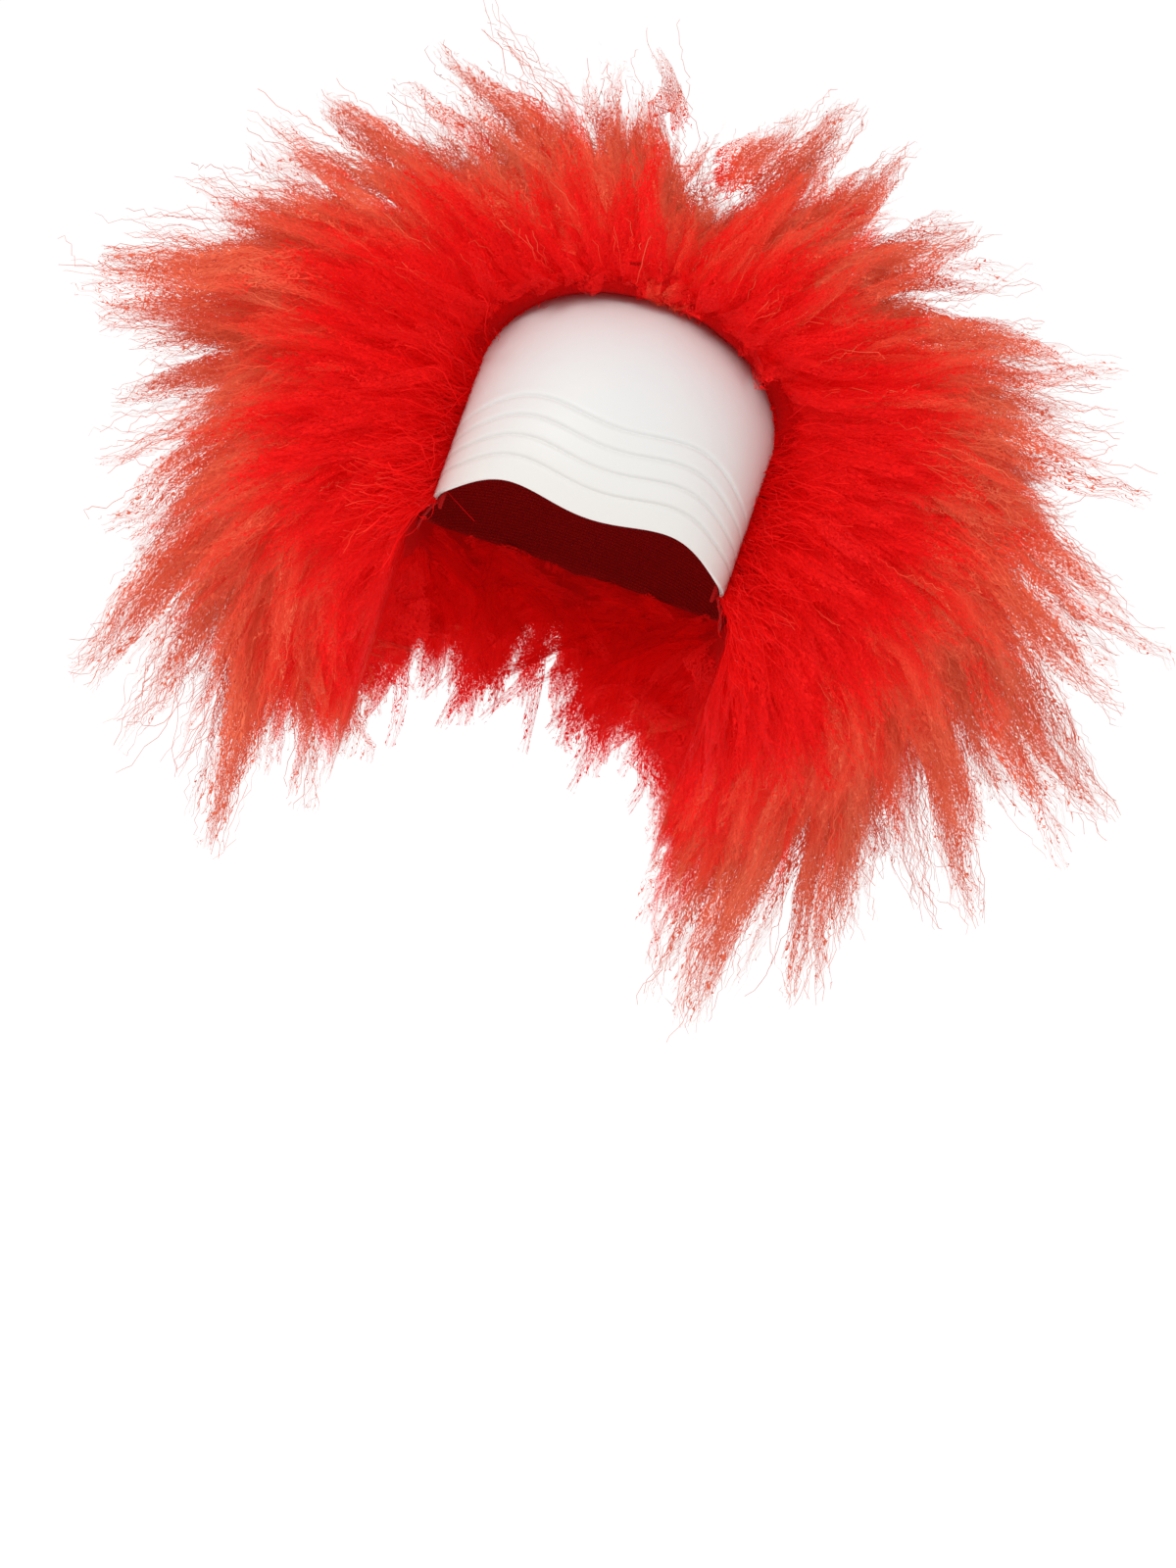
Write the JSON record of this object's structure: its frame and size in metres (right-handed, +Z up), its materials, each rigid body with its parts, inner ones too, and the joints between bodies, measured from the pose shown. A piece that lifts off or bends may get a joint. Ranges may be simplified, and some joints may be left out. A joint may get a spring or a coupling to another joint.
{
  "type": "clown wig",
  "caption": "Clown wig with a moulded white bald forehead and a fabric cap behind it that carries wild, frizzy red hair in sewn sections",
  "frame": {"origin": "centre of the wearer's head, level with the middle of the brow edge", "axes": "+Z up through the crown, -Y the way the wearer faces, +X the wearer's left"},
  "size_m": [0.4872, 0.2995, 0.4055],
  "materials": {
    "shell_white": "matt white moulded latex with a faint sheen",
    "cap_red": "dark red stretch net, matt",
    "hair_red": "crimped synthetic fibre, bright red, matt with a soft sheen along each strand"
  },
  "bodies": {
    "root": {"forehead": "shell_white", "cap": "cap_red", "hair_crown": "hair_red", "hair_left": "hair_red", "hair_right": "hair_red", "hair_back": "hair_red"}
  },
  "joints": []
}
